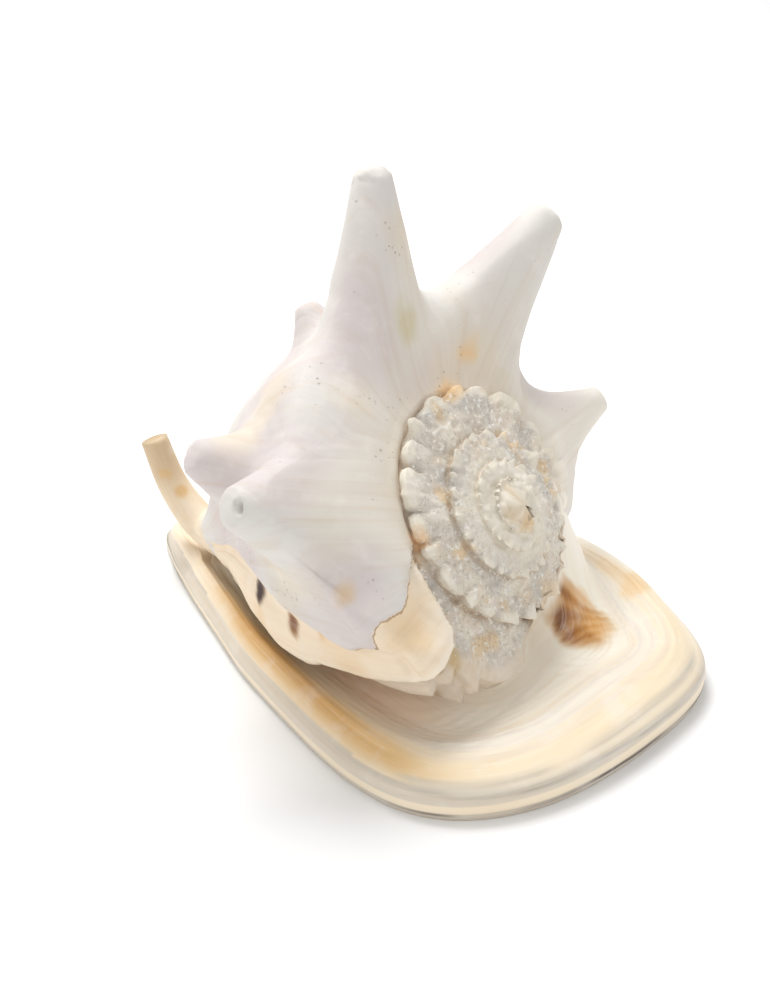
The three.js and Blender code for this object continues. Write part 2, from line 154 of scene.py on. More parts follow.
# Stains on the body: centre, size (mm), colour, strength.
BODY_SPOTS = [
    ((-42, 38, 36), (3.2, 3.2, 4.4), (0.20, 0.08, 0.02), 1.0),
    ((-53, 18, 35), (3.0, 2.6, 4.8), (0.47, 0.27, 0.09), 1.0),
    ((-57, 5, 37), (2, 2.0, 4.0), TAN, 0.9),
    ((-65, -12, 64), (4, 3, 4), TAN, 0.45),
    ((9, 10, 119), (5, 5, 6), (0.76, 0.70, 0.50), 0.45),
    ((34, 3.5, 100), (5, 5, 3.5), (0.92, 0.74, 0.50), 0.6),
    ((16, -3, 96), (8, 4, 4), (0.93, 0.78, 0.58), 0.8),
    ((2, 102, 34), (2.5, 2.5, 2), TAN, 0.8),
    ((0.5, 108, 40), (2, 3, 1.6), TAN, 0.6),
    ((-40, -34, 22), (4, 5, 5), BROWN, 0.7),
    ((-46, -38, 37), (3, 3, 6), (0.72, 0.60, 0.38), 0.6),
    ((-36, -21, 70), (2.5, 3, 5), (0.90, 0.68, 0.45), 0.6),
]
STAIN_CENTRE, STAIN_SIZE = np.array([16.0, -54.0, 24.0]), np.array([13.0, 9.5, 14.0])
STAIN_AXES = np.array([[0.75, -0.55, -0.35], [0.45, 0.83, -0.33], [0.47, 0.09, 0.88]])


# ---- Small helpers ---------------------------------------------------------------------

def smooth(x, a, b):
    t = np.clip((np.asarray(x, float) - a) / (b - a), 0, 1)
    return t * t * (3 - 2 * t)


def bump(x, centre, width):
    return np.exp(-(((x - centre) / width) ** 2))


def mix(a, b, share):
    return a + (b - a) * share


def noise(points, size, seed=0):
    """Smooth random field from -1 to 1, with features about `size` mm across."""
    at = np.asarray(points, float) / size + 31.7 * seed
    cell = np.floor(at).astype(np.int64)
    inside = at - cell
    inside = inside * inside * (3 - 2 * inside)
    total = np.zeros(len(at))
    for corner in itertools.product((0, 1), repeat=3):
        c = cell + corner
        h = (c[:, 0] * 73856093) ^ (c[:, 1] * 19349663) ^ (c[:, 2] * 83492791) ^ (seed * 2654435)
        h = (h ^ (h >> 13)) * 1274126177 & 0xFFFFFFFF
        value = ((h ^ (h >> 16)) & 0xFFFF) / 32767.5 - 1
        total += value * np.prod(np.where(corner, inside, 1 - inside), axis=1)
    return total


def line_noise(x, size, seed=0):
    """The same along one line."""
    x = np.asarray(x, float)
    flat = np.column_stack([x.ravel(), np.zeros(x.size), np.zeros(x.size)])
    return noise(flat, size, seed).reshape(x.shape)


def radial(angle):
    turn = np.radians(np.asarray(angle, float))[..., None]
    return np.cos(turn) * COIL_UP + np.sin(turn) * RIGHT


def coil_point(angle, radius, depth):
    radius, depth = np.asarray(radius, float)[..., None], np.asarray(depth, float)[..., None]
    return APEX + depth * AXIS + radius * radial(angle)


def axis_radius(points):
    arm = points - APEX
    return np.linalg.norm(arm - np.outer(arm @ AXIS, AXIS), axis=1)


def curve_through(points, samples, closed=False):
    """Uniform Catmull-Rom curve through the points."""
    p = np.asarray(points, float)
    count = len(p)
    segments = count if closed else count - 1
    u = np.linspace(0, segments, samples, endpoint=not closed)
    i = np.minimum(u.astype(int), segments - 1)
    f = (u - i)[:, None]
    if closed:
        a, b, c, d = (p[(i + k) % count] for k in (-1, 0, 1, 2))
    else:
        p = np.vstack([2 * p[0] - p[1], p, 2 * p[-1] - p[-2]])
        a, b, c, d = (p[i + k] for k in (0, 1, 2, 3))
    return 0.5 * (2 * b + (c - a) * f + (2 * a - 5 * b + 4 * c - d) * f**2 + (3 * b - a - 3 * c + d) * f**3)


def vertex_normals(points, quads):
    normals = np.zeros_like(points)
    for corners in ([0, 1, 2], [0, 2, 3]):
        a, b, c = (points[quads[:, k]] for k in corners)
        face = np.cross(b - a, c - a)
        for k in corners:
            np.add.at(normals, quads[:, k], face)
    return normals / np.maximum(np.linalg.norm(normals, axis=1), 1e-12)[:, None]


def strip(previous, current):
    """Quads between two closed rings of point numbers."""
    return np.stack([previous, np.roll(previous, -1), np.roll(current, -1), current], -1)


def fan(ring, tip):
    """Triangles from a closed ring to one point, as quads with a repeated corner."""
    return np.stack([ring, np.roll(ring, -1), np.full(len(ring), tip), np.full(len(ring), tip)], -1)


# ---- The coiled body -------------------------------------------------------------------

def spire_radius(angle):
    """Shoulder radius of the old whorls; the last one is drawn in on the lower right."""
    drawn_in = smooth(angle, -292, -230) * (1 - smooth(angle, -174, -142))
    growth = WHORL_GROWTH ** ((np.asarray(angle, float) - VARIX_ANGLE) / 360)
    return VARIX_RADIUS * growth * (1 - 0.40 * drawn_in)


def after_varix(angle):
    return smooth(angle, VARIX_ANGLE - 4, VARIX_ANGLE + 45)


def shoulder_radius(angle):
    body = BODY_RADIUS + BODY_SWELL * np.cos(np.radians(angle - 10))
    full = mix(spire_radius(angle), body, after_varix(angle))
    return mix(full, spire_radius(LIP_ANGLE - 360), smooth(angle, TUCK_ANGLE, LIP_ANGLE))


def shoulder_depth(angle):
    old = (SPIRE_SLOPE - SUTURE_DROP) * spire_radius(angle)
    full = mix(old, SHOULDER_DEPTH, after_varix(angle))
    tucked = (SPIRE_SLOPE - SUTURE_DROP) * spire_radius(LIP_ANGLE - 360)
    return mix(full, tucked, smooth(angle, TUCK_ANGLE, LIP_ANGLE))


def side_scale(v, angle):
    """Share of the shoulder radius left at v, fuller on the flank and narrower in the waist."""
    gap = np.asarray(angle) + 116
    flank = np.exp(-((gap / np.where(gap > 0, 20.0, 15.0)) ** 2))
    waist = bump(np.asarray(angle), -74, 32)
    upper = np.interp(v, SIDE_AT, SIDE_UPPER)
    scale = mix(upper, np.interp(v, SIDE_AT, SIDE_WAIST), waist)
    return mix(scale, np.interp(v, SIDE_AT, SIDE_FLANK), flank)


def nodules(phi):
    """Height from 0 to 1 of the row of nodules at a growth angle."""
    phi = np.asarray(phi, float)
    gap = phi - SPACING_CHANGE
    phase = gap / np.where(gap > 0, NODULE_SPACING_NEW, NODULE_SPACING_OLD) + 0.35
    phase = phase + 0.16 * np.sin(phase * 2.1) + 0.1 * np.sin(phase * 5.3 + 1)
    number = np.floor(phase)
    x = phase - number
    size = 0.86 + 0.24 * np.sin(number * 12.9898 + 4.1) * np.sin(number * 3.7) + 0.12 * np.sin(number * 7.1)
    pointed = np.clip(1 - np.abs(x - 0.5) / 0.5, 0, 1) ** 1.1
    lump = np.sin(np.pi * x) ** 0.9
    pleat = np.where(x < 0.08, smooth(x, -0.02, 0.08), 1 - ((x - 0.08) / 0.92) ** 0.7)
    early = mix(pointed, lump, smooth(phi, *NODULES_TURN_ROUND))
    return mix(early, pleat, smooth(phi, *NODULES_TURN_PLEAT)) * size


def nodule_size(phi):
    radius = shoulder_radius(phi)
    return radius * 0.09 * smooth(radius, 3, 12) + 0.9 * smooth(radius, 8, 22)


def turn_offsets():
    """Angles of one turn, closer together at the horns and the old lip."""
    fine = np.linspace(0, 360, 3601)
    at = LIP_ANGLE + fine
    weight = np.ones_like(fine)
    places = [(h["foot"][0], 1.5, 13) for h in HORNS.values()] + [(VARIX_ANGLE, 1.8, 22)]
    for angle, extra, width in places:
        gap = (at - angle + 180) % 360 - 180
        weight += extra * bump(gap, 0, width)
    total = np.concatenate([[0], np.cumsum((weight[1:] + weight[:-1]) / 2)])
    return np.interp(np.arange(STEPS) / STEPS, total / total[-1], fine)


class Skin:
    """Points with growth coordinates (angle, position across), and quads."""

    def __init__(self):
        self.points, self.angle, self.across, self.quads, self.count = [], [], [], [], 0

    def add(self, points, angle, across):
        points = np.asarray(points, float).reshape(-1, 3)
        self.points.append(points)
        self.angle.append(np.broadcast_to(angle, len(points)))
        self.across.append(np.broadcast_to(across, len(points)))
        self.count += len(points)
        return np.arange(self.count - len(points), self.count)

    def finished(self):
        return [np.concatenate(part) for part in (self.points, self.angle, self.across, self.quads)]


def whorl_bands(skin):
    """The spiral bands from suture to shoulder, each welded to the turn before. Returns the outer loop."""
    n, m, total = STEPS, RAMP_ROWS, TURNS * STEPS
    i = np.arange(total + 1)
    phi = LIP_ANGLE - 360 * TURNS + 360 * (i // n) + turn_offsets()[i % n]
    t = np.arange(1, m + 1) / m
    inner, outer = spire_radius(phi - 360)[:, None], shoulder_radius(phi)[:, None]
    top, crest = SPIRE_SLOPE * inner, shoulder_depth(phi)[:, None]
    old = 1 - after_varix(phi)[:, None]
    # Old whorls keep the last part of the band for the wall below the shoulder.
    edge = 1 - 0.2 * old
    ramp = np.clip(t / edge, 0, 1)
    wall = np.clip((t - edge) / np.maximum(1 - edge, 1e-6), 0, 1)
    rounding = 0.7 * (1 - old)
    out = ramp + rounding * (np.sin(np.pi / 2 * ramp) - ramp)
    down = ramp + rounding * (1 - np.cos(np.pi / 2 * ramp) - ramp)
    foot = mix(SHOULDER_DEPTH + 2, SPIRE_SLOPE * spire_radius(phi)[:, None], old)
    radius = mix(inner, outer, out)
    depth = mix(top, crest, down) + (foot - crest) * wall
    # The row of nodules; pleats carry on over the shoulder.
    pleated = smooth(phi, *NODULES_TURN_PLEAT)[:, None]
    rounded = smooth(phi, *NODULES_TURN_ROUND)[:, None]
    inwards = mix(0.17, 0.25, rounded)
    outwards = mix(0.13, 0.5, pleated)
    row = bump(t, 0.8, np.where(t < 0.8, inwards, outwards))
    knobs = smooth(t, 0.38, 0.66) * (1 - 0.75 * smooth(t, 0.9, 1.0))
    row = mix(row, knobs, rounded * (1 - pleated))
    before_lip = np.clip((np.interp(t, LIP_AT, OLD_EDGE) - phi[:, None]) / 1.5, 0, 1)
    lift = before_lip * row * ((nodules(phi) - 0.45) * nodule_size(phi))[:, None]
    grid = coil_point(phi[:, None] + 0 * t, radius + lift, depth - lift * mix(0.5, 0.1, pleated))

    apex = skin.add(APEX, phi[0], 0)[0]
    first = skin.add(grid, np.repeat(phi, m), np.tile(t, total + 1))[0]

    def number(i, j):
        i, j = np.broadcast_arrays(i, j)
        own = first + i * m + j - 1
        own = np.where((i == 0) & (j < m), apex, own)
        weld = np.where(i < n, apex, first + (i - n) * m + m - 1)
        return np.where(j == 0, weld, own)

    gi, gj = np.meshgrid(np.arange(total), np.arange(m), indexing="ij")
    corners = (number(gi, gj), number(gi + 1, gj), number(gi + 1, gj + 1), number(gi, gj + 1))
    skin.quads.append(np.stack(corners, -1).reshape(-1, 4))
    outer_edge = number(np.arange(total - n, total), np.full(n, m))
    lip_step = number(np.full(m, total), np.arange(m, 0, -1))
    return np.concatenate([outer_edge, lip_step])


def side_rows(skin, loop):
    """The side of the body whorl, from the shoulder to the root of the canal."""
    start = APEX + SHOULDER_DEPTH * AXIS
    arm = np.concatenate(skin.points)[loop] - start
    phi = np.concatenate(skin.angle)[loop]
    drop = arm @ AXIS
    edge = np.interp(1.1, LIP_AT, OLD_EDGE)
    for v in np.linspace(0, 1, SIDE_ROWS + 1)[1:] ** 1.15 * 0.93:
        middle = (1 - v) ** 2 * start + 2 * v * (1 - v) * BODY_BOW + v**2 * BODY_END
        flat_arm = arm - np.outer(drop * min(1, v * 3), AXIS)
        skirt = nodules(phi) * nodule_size(phi) * (phi < edge) * 0.6 * bump(v, 0, 0.2)
        points = middle + flat_arm * side_scale(v, phi)[:, None] + radial(phi) * skirt[:, None]
        ring = skin.add(points, phi, 1 + v)
        skin.quads.append(strip(loop, ring))
        loop = ring
    return loop


def canal_rings(skin, loop):
    """The siphonal canal: the last ring of the side turns to follow the canal's path."""
    last = np.concatenate(skin.points)[loop]
    phi = np.concatenate(skin.angle)[loop]
    centre = last.mean(0)
    arm = last - centre
    turn = np.arctan2(arm @ RIGHT, arm @ COIL_UP)[:, None]
    path = curve_through(CANAL_PATH, CANAL_ROWS + 1)
    heading = np.gradient(path, axis=0)
    heading /= np.linalg.norm(heading, axis=1)[:, None]
    radii = curve_through([[r, 0] for r in CANAL_RADII], CANAL_ROWS + 1)[:, 0]
    for k in range(1, CANAL_ROWS + 1):
        share = k / CANAL_ROWS
        along = mix(AXIS, heading[k], smooth(share, 0, 0.35))
        along /= np.linalg.norm(along)
        side = RIGHT - along * (RIGHT @ along)
        side /= np.linalg.norm(side)
        up = np.cross(side, along)
        circle = radii[k] * (np.cos(turn) * up + np.sin(turn) * side)
        carried = (arm @ COIL_UP)[:, None] * up + (arm @ RIGHT)[:, None] * side
        settled = smooth(share, 0, 0.3)
        shape = mix(carried + centre - path[0], circle, settled)
        ring = skin.add(path[k] + shape, phi, 2 + share)
        skin.quads.append(strip(loop, ring))
        loop = ring
    tip = skin.add(path[-1] - 1.2 * heading[-1], 0, 3)[0]
    skin.quads.append(fan(loop, tip))


def past_edge(points, phi, across, edge):
    """Distance in mm past an edge given as growth angles at LIP_AT, positive on the newer side."""
    mm = np.radians(1) * np.maximum(axis_radius(points), 8)
    band = np.maximum(shoulder_radius(phi) - spire_radius(phi - 360), 5)
    slope = (np.interp(across + 0.04, LIP_AT, edge) - np.interp(across - 0.04, LIP_AT, edge)) / 0.08
    run = slope * mm / np.where(across <= 1, band, 110)
    return (phi - np.interp(across, LIP_AT, edge)) * mm / np.hypot(1, run)


def lip_distances(points, phi, across):
    """Distances past the old lip's edge and past the edge of the newest layer."""
    hidden = np.where((phi > LIP_ANGLE - 360) | (across > 1), 0, -999.0)
    ragged = 1.2 * noise(points, 11, 3) + 0.5 * noise(points, 5, 4)
    past_old = past_edge(points, phi, across, OLD_EDGE) + 0.3 * noise(points, 9, 5)
    past_new = past_edge(points, phi, across, NEW_EDGE) + ragged
    return past_old + hidden, past_new + hidden


def suture_distance(phi, across):
    """Distance in mm across the band to the nearer suture; 99 off the spire."""
    width = np.maximum(shoulder_radius(phi) - spire_radius(phi - 360), 1)
    inner = across * width
    outer = np.where(phi < LIP_ANGLE - 360, (1 - across) * width, 99)
    return np.where(across > 1, 99, np.minimum(inner, outer))


def body_relief(points, phi, across, quads):
    """Pushes the old lip, the newest layer, the sutures and the worn texture in or out."""
    past_old, past_new = lip_distances(points, phi, across)
    radius = axis_radius(points)
    on_old = past_old < 0
    on_ramp = (across <= 1) & on_old
    # Old lip: a steep outer edge, thickest there, sinking under the newest layer.
    width = np.maximum(past_old - past_new, 1.0)
    share = np.clip(past_old / width, 0, 1)
    thick = 5.4 - 3.6 * smooth(share, 0.12, 0.7) + 1.4 * smooth(share, 0.75, 1.0)
    roll = smooth(past_old, -0.6, 1.4) * thick * (1 - smooth(past_new, 0, 14))
    layer = smooth(past_new, -1.0, 1.0) * 1.2 * (1 - smooth(past_new, 4, 30))
    fade = (1 - smooth(across, 1.75, 2.0)) * smooth(across, 0, 0.2)
    lift = (roll + layer) * fade
    # Body whorl: a lumpy cord along the suture on the right, and a thin raised margin.
    newest = (phi > LIP_ANGLE - 360) & (across <= 1) & ~on_old
    cord = bump(across, 0.17, 0.075) * smooth(phi, 50, 58) * (1 - smooth(phi, 108, 126))
    knots = 0.6 + 0.6 * np.abs(np.sin(np.radians(phi) * 13.4 + 0.6 * np.sin(phi / 7)))
    lift += newest * cord * knots * 3.6
    lift += newest * bump(across, 0.035, 0.03) * 0.9
    # Sutures are narrow clefts.
    cleft = suture_distance(phi, across)
    depth = np.minimum(1.0, radius * 0.03) * (0.7 + 0.5 * noise(points, 8, 25))
    lift -= np.exp(-((cleft / 0.8) ** 2)) * depth
    # Old ramps are wrinkled and granular; the first whorls are worn lumpy.
    wear = on_ramp * (1 - bump(across, 0.8, 0.15) * 0.6)
    lift += wear * (0.38 * noise(points, 3.2, 11) + 0.28 * noise(points, 1.7, 12))
    crinkle = np.abs(noise(points * [1, 1, 1.8], 4.5, 13)) - 0.3
    lift -= wear * smooth(radius, 16, 30) * crinkle * 1.0
    lumps = 1.5 * noise(points, 4.6, 14) + 0.5 * noise(points, 2.2, 15)
    lift += on_ramp * (1 - smooth(radius, 10, 19)) * lumps * smooth(radius, 0.5, 3)
    # Newest layer: faint growth folds across the whorl, broad unevenness.
    fresh = (~on_old & (across < 2)) * smooth(across, 0.05, 0.3)
    lift += fresh * 0.07 * line_noise(phi + 2.5 * noise(points, 22, 16), 1.9, 17)
    lift += fresh * (0.55 * noise(points, 17, 18) + 0.10 * noise(points, 2.2, 19))
    skirt = on_old & (across > 1) & (across < 2)
    lift += skirt * 0.25 * noise(points, 4, 20)
    return points + vertex_normals(points, quads) * lift[:, None]


def raise_horns(points, weight):
    """Pulls each horn out of the surface, spreading the points evenly up its sides."""
    out = points.copy()
    for h in HORNS.values():
        foot, tip = coil_point(*h["foot"]), coil_point(*h["tip"])
        length = np.linalg.norm(tip - foot)
        along = (tip - foot) / length
        arm = out - foot
        height = arm @ along
        side = arm - height[:, None] * along
        away = np.linalg.norm(side, axis=1)
        near = (away < h["reach"]) & (height > -34) & (weight > 0)
        outwards = away[near] / h["reach"]
        widths, heights = HORN_PROFILE[:, 0], HORN_PROFILE[:, 1] * length
        radii = widths * h["reach"] * (1 + (h["slim"] - 1) * (1 - widths))
        walked = np.concatenate([[0], np.cumsum(np.hypot(np.diff(radii), np.diff(heights)))])
        place = 1 - walked / walked[-1]
        new_radius = np.interp(outwards, place[::-1], radii[::-1])
        rise = np.interp(outwards, place[::-1], heights[::-1])
        kept = height[near] * smooth(outwards, 0.35, 1.0)
        unit = side[near] / np.maximum(away[near], 1e-6)[:, None]
        worn = 0.25 * noise(out[near], 9, 21) * smooth(rise, 4, 20)
        pulled = foot + unit * (new_radius + worn)[:, None] + along * (kept + rise)[:, None]
        share = weight[near] * smooth(height[near], -34, -22)
        out[near] += share[:, None] * (pulled - out[near])
    return out


def horn_share(phi, across):
    """1 on the body whorl's outside, fading to 0 at its suture and on the old whorls."""
    outer = np.where(phi > LIP_ANGLE - 360, smooth(across, 0.05, 0.45), 0.0)
    return np.where(across > 1, 1.0, outer) * smooth(phi, VARIX_ANGLE - 2, VARIX_ANGLE + 8)


def horn_wear(points, quads):
    """Pits in the worn tips, and the hole in the broken left horn."""
    lift = np.zeros(len(points))
    for name, h in HORNS.items():
        away = np.linalg.norm(points - coil_point(*h["tip"]), axis=1)
        depth = 0.7 if name == "top" else 0.25
        lift -= (1 - smooth(away, 6, 15)) * depth * smooth(noise(points, 1.9, 22), 0.3, 0.7)
    hole = np.linalg.norm((points - HORN_HOLE) / [2.2, 2.2, 3.6], axis=1)
    lift -= 3.0 * (1 - smooth(hole, 0.5, 1.1))
    return points + vertex_normals(points, quads) * lift[:, None]


def coiled_body():
    skin = Skin()
    loop = whorl_bands(skin)
    loop = side_rows(skin, loop)
    canal_rings(skin, loop)
    points, phi, across, quads = skin.finished()
    points = body_relief(points, phi, across, quads)
    points = raise_horns(points, horn_share(phi, across))
    points = horn_wear(points, quads)
    return points, phi, across, quads


# ---- The shield ------------------------------------------------------------------------

def inwards_from(outline):
    """Unit vectors from the outline towards the spine, and the distances."""
    start, step = SPINE[0], SPINE[1] - SPINE[0]
    share = np.clip(((outline - start) @ step) / (step @ step), 0, 1)
    gap = start + share[:, None] * step - outline
    length = np.linalg.norm(gap, axis=1)
    return gap / length[:, None], length


def shield_top(table, u):
    """Inset and height of the top surface at row position u from 0 to 1, per station."""
    rim, crest_in, crest, dish_in, dish, foot_in, foot, last_in, last = table.T
    inset = [0 * rim + 1.2, 0 * rim, 0 * rim + 0.3, 0 * rim + 2.6, crest_in * 0.6, crest_in,
             mix(crest_in, dish_in, 0.5), dish_in, mix(dish_in, foot_in, 0.6), foot_in, last_in]
    height = [0 * rim, rim * 0.3, rim * 0.75, rim, mix(rim, crest, 0.75), crest,
              mix(crest, dish, 0.6), dish, mix(dish, foot, 0.4), foot, last]
    knots = np.stack([np.array(inset), np.array(height)], -1)
    curve = curve_through(knots.reshape(len(inset), -1), len(u))
    return curve.reshape(len(u), -1, 2)


def shield():
    """Closed surface of the shield. Across is the inset in mm, negative on the underside."""
    table = curve_through(SHIELD, SHIELD_SAMPLES, closed=True)
    outline, profile = table[:, :2], table[:, 2:]
    inward, reach = inwards_from(outline)
    walk = np.concatenate([[0], np.cumsum(np.linalg.norm(np.diff(outline, axis=0), axis=1))])
    skin = Skin()

    def ring(inset, height, across):
        flat = outline + inward * inset[:, None]
        return skin.add(np.column_stack([flat, height]), walk, across)

    rows = []
    curve = shield_top(profile, np.linspace(0, 1, SHIELD_ROWS))
    rim = profile[:, 0]
    for inset, height in curve.transpose(0, 2, 1):
        level = height / rim
        wobble = 0.06 * line_noise(walk, 26, 31) + 0.03 * line_noise(walk, 9, 32)
        sheets = sum(depth * bump(level + wobble, at, 0.055) for at, depth in RIM_SHEETS)
        open_share = 0.55 + 0.45 * line_noise(walk, 40, 33)
        at_rim = (inset < 3.2) & (height < rim + 0.5)
        shift = at_rim * sheets * open_share
        arcs = arc_relief(inset, walk)
        rows.append(ring(inset + shift, height + arcs, inset))
    for above, below in zip(rows[:-1], rows[1:]):
        skin.quads.append(strip(above, below))
    last_inset, last_height = curve[-1].T
    spine_height = np.interp(outline[:, 1], *SPINE_HEIGHT)
    inside = [rows[-1]]
    for share in (0.25, 0.5, 0.75, 1.0):
        inset = mix(last_inset, 0.97 * reach, share)
        inside.append(ring(inset, mix(last_height, spine_height, share), inset))
        skin.quads.append(strip(inside[-2], inside[-1]))
    lid = skin.add(np.append(SPINE.mean(0), 40), 0, 60)[0]
    skin.quads.append(fan(inside[-1], lid))

    under = []
    for share in np.linspace(0, 1, FLOOR_ROWS + 1)[1:] * 0.93:
        inset = 1.2 + share * (reach - 1.2)
        height = HOLLOW_HEIGHT * smooth(inset, BEARING_RIM, BEARING_RIM + 24)
        flat = outline + inward * inset[:, None]
        under.append(ring(inset, height + underside_relief(flat, inset), -inset))
    for outer, inner in zip([rows[0]] + under[:-1], under):
        skin.quads.append(strip(outer, inner)[:, ::-1])
    floor = skin.add(np.append(SPINE.mean(0), HOLLOW_HEIGHT), 0, -60)[0]
    skin.quads.append(fan(under[-1], floor)[:, ::-1])
    return skin.finished()


def arc_relief(inset, walk):
    """Low growth steps that run parallel to the rim."""
    drift = inset + 1.4 * line_noise(walk, 55, 34) + 0.5 * line_noise(walk, 17, 35)
    wave = np.sin(2 * np.pi * drift / 3.3) + 0.6 * np.sin(2 * np.pi * drift / 1.9 + 1)
    zone = smooth(inset, 4, 9) * (1 - smooth(inset, 38, 48))
    strength = 0.6 + 0.5 * line_noise(walk + 40 * np.floor(drift / 3.3), 30, 36)
    return 0.24 * wave * zone * strength


def tooth_wave(y, shift=0.0, width=3.8):
    """1 on each tooth along the aperture, 0 between them."""
    return sum(bump(y, TOOTH_FIRST + shift + TOOTH_PITCH * k, width) for k in range(TOOTH_COUNT))


def underside_relief(flat, inset):
    """Teeth and folds beside the aperture, and faint growth arcs."""
    x, y = flat.T
    reach = SLOT_HALF[0] * np.sqrt(np.clip(1 - ((y - SLOT_CENTRE[1]) / SLOT_HALF[1]) ** 2, 0, 1))
    lip_gap = x - (SLOT_CENTRE[0] + reach)
    fold_gap = (SLOT_CENTRE[0] - reach) - x
    lip = tooth_wave(y) * smooth(lip_gap, -2, 1) * (1 - smooth(lip_gap, 6, 17)) * 2.6
    fold = tooth_wave(y, 6, 2.6) * smooth(fold_gap, -2, 1) * (1 - smooth(fold_gap, 4, 20)) * 1.5
    arcs = 0.12 * np.sin(inset * 1.7 + 2 * np.sin(y / 30)) * smooth(inset, 14, 22)
    return -lip - fold + arcs


def slot_cutter():
    """The aperture: a long slot, scalloped by its teeth, that narrows upwards."""
    skin = Skin()
    turn = np.linspace(0, 2 * np.pi, 420, endpoint=False)
    rings = []
    for z in np.concatenate([[-3], np.linspace(0, 33, 23)]):
        size = math.sqrt(1 - (max(z, 0) / SLOT_HALF[2]) ** 2)
        x = SLOT_CENTRE[0] + SLOT_HALF[0] * size * np.cos(turn)
        y = SLOT_CENTRE[1] + SLOT_HALF[1] * size * np.sin(turn)
        fade = 1 - smooth(z, 11, 24)
        lip = np.clip(np.cos(turn), 0, 1) ** 0.5 * tooth_wave(y) * 3.4 * fade
        fold = np.clip(-np.cos(turn), 0, 1) ** 0.5 * tooth_wave(y, 6, 2.6) * 2.0 * fade
        rings.append(skin.add(np.column_stack([x - lip + fold, y, np.full(len(x), z)]), 0, z))
    for below, above in zip(rings[:-1], rings[1:]):
        skin.quads.append(strip(below, above))
    top = skin.add([*SLOT_CENTRE, 33], 0, 33)[0]
    bottom = skin.add([*SLOT_CENTRE, -3], 0, 0)[0]
    skin.quads += [fan(rings[-1], top), fan(rings[0], bottom)[:, ::-1]]
    return skin.finished()


def cavity_cutter():
    """The hollow of the body whorl, one wall thickness in from its side."""
    skin = Skin()
    start = APEX + SHOULDER_DEPTH * AXIS
    angle = LIP_ANGLE - np.linspace(360, 0, 90, endpoint=False)
    rings = []
    for v in np.linspace(*CAVITY_REACH, 30):
        middle = (1 - v) ** 2 * start + 2 * v * (1 - v) * BODY_BOW + v**2 * BODY_END
        radius = shoulder_radius(angle) * side_scale(v, angle) - WALL
        along = 2 * (v - CAVITY_REACH[0]) / (CAVITY_REACH[1] - CAVITY_REACH[0]) - 1
        round_ends = math.sqrt(max(0.05, 1 - along**8))
        rings.append(skin.add(middle + radial(angle) * (radius * round_ends)[:, None], 0, 40))
    for near, far in zip(rings[:-1], rings[1:]):
        skin.quads.append(strip(near, far))
    points = np.concatenate(skin.points)
    first = skin.add(points[rings[0]].mean(0), 0, 40)[0]
    last = skin.add(points[rings[-1]].mean(0), 0, 40)[0]
    skin.quads += [fan(rings[0], first)[:, ::-1], fan(rings[-1], last)]
    return skin.finished()


# ---- Colour ----------------------------------------------------------------------------

class Paint:
    """A colour per point that layers of paint are mixed into, and other values per point."""

    def __init__(self, points, base):
        self.points = points
        self.rgb = np.tile(np.array(base, float), (len(points), 1))

    def add(self, colour, weight):
        weight = np.clip(np.broadcast_to(weight, len(self.rgb)), 0, 1)[:, None]
        self.rgb += (np.array(colour) - self.rgb) * weight

    def spot(self, centre, size, colour, strength=1.0, edge=0.5):
        away = np.linalg.norm((self.points - centre) / size, axis=1)
        away = away + 0.25 * noise(self.points, 3, 41)
        self.add(colour, strength * (1 - smooth(away, 1 - edge, 1 + edge)))


def stain(paint):
    """The stain beside the old whorls: soft orange, dark in one corner, in fine parallel stripes."""
    away = (paint.points - STAIN_CENTRE) @ STAIN_AXES.T / STAIN_SIZE
    reach = np.linalg.norm(away, axis=1) + 0.25 * noise(paint.points, 7, 52)
    inside = 1 - smooth(reach, 0.5, 1.15)
    across = away[:, 1] * STAIN_SIZE[1]
    stripes = 0.5 + 0.5 * np.sin(across * 2 * np.pi / 1.9 + 0.8 * noise(paint.points, 9, 53))
    patch = smooth(noise(paint.points, 6, 54), -0.5, 0.4)
    paint.add(STAIN_ORANGE, inside * (0.75 + 0.25 * stripes))
    paint.add(STAIN_TAN, inside * patch * (0.45 + 0.5 * stripes))
    corner = 1 - smooth(away[:, 0], -0.75, 0.25)
    paint.add(STAIN_BROWN, inside * corner * (0.4 + 0.5 * stripes))
    paint.add(DARK, inside * (1 - smooth(away[:, 0], -0.7, -0.25)) * stripes * 0.35)


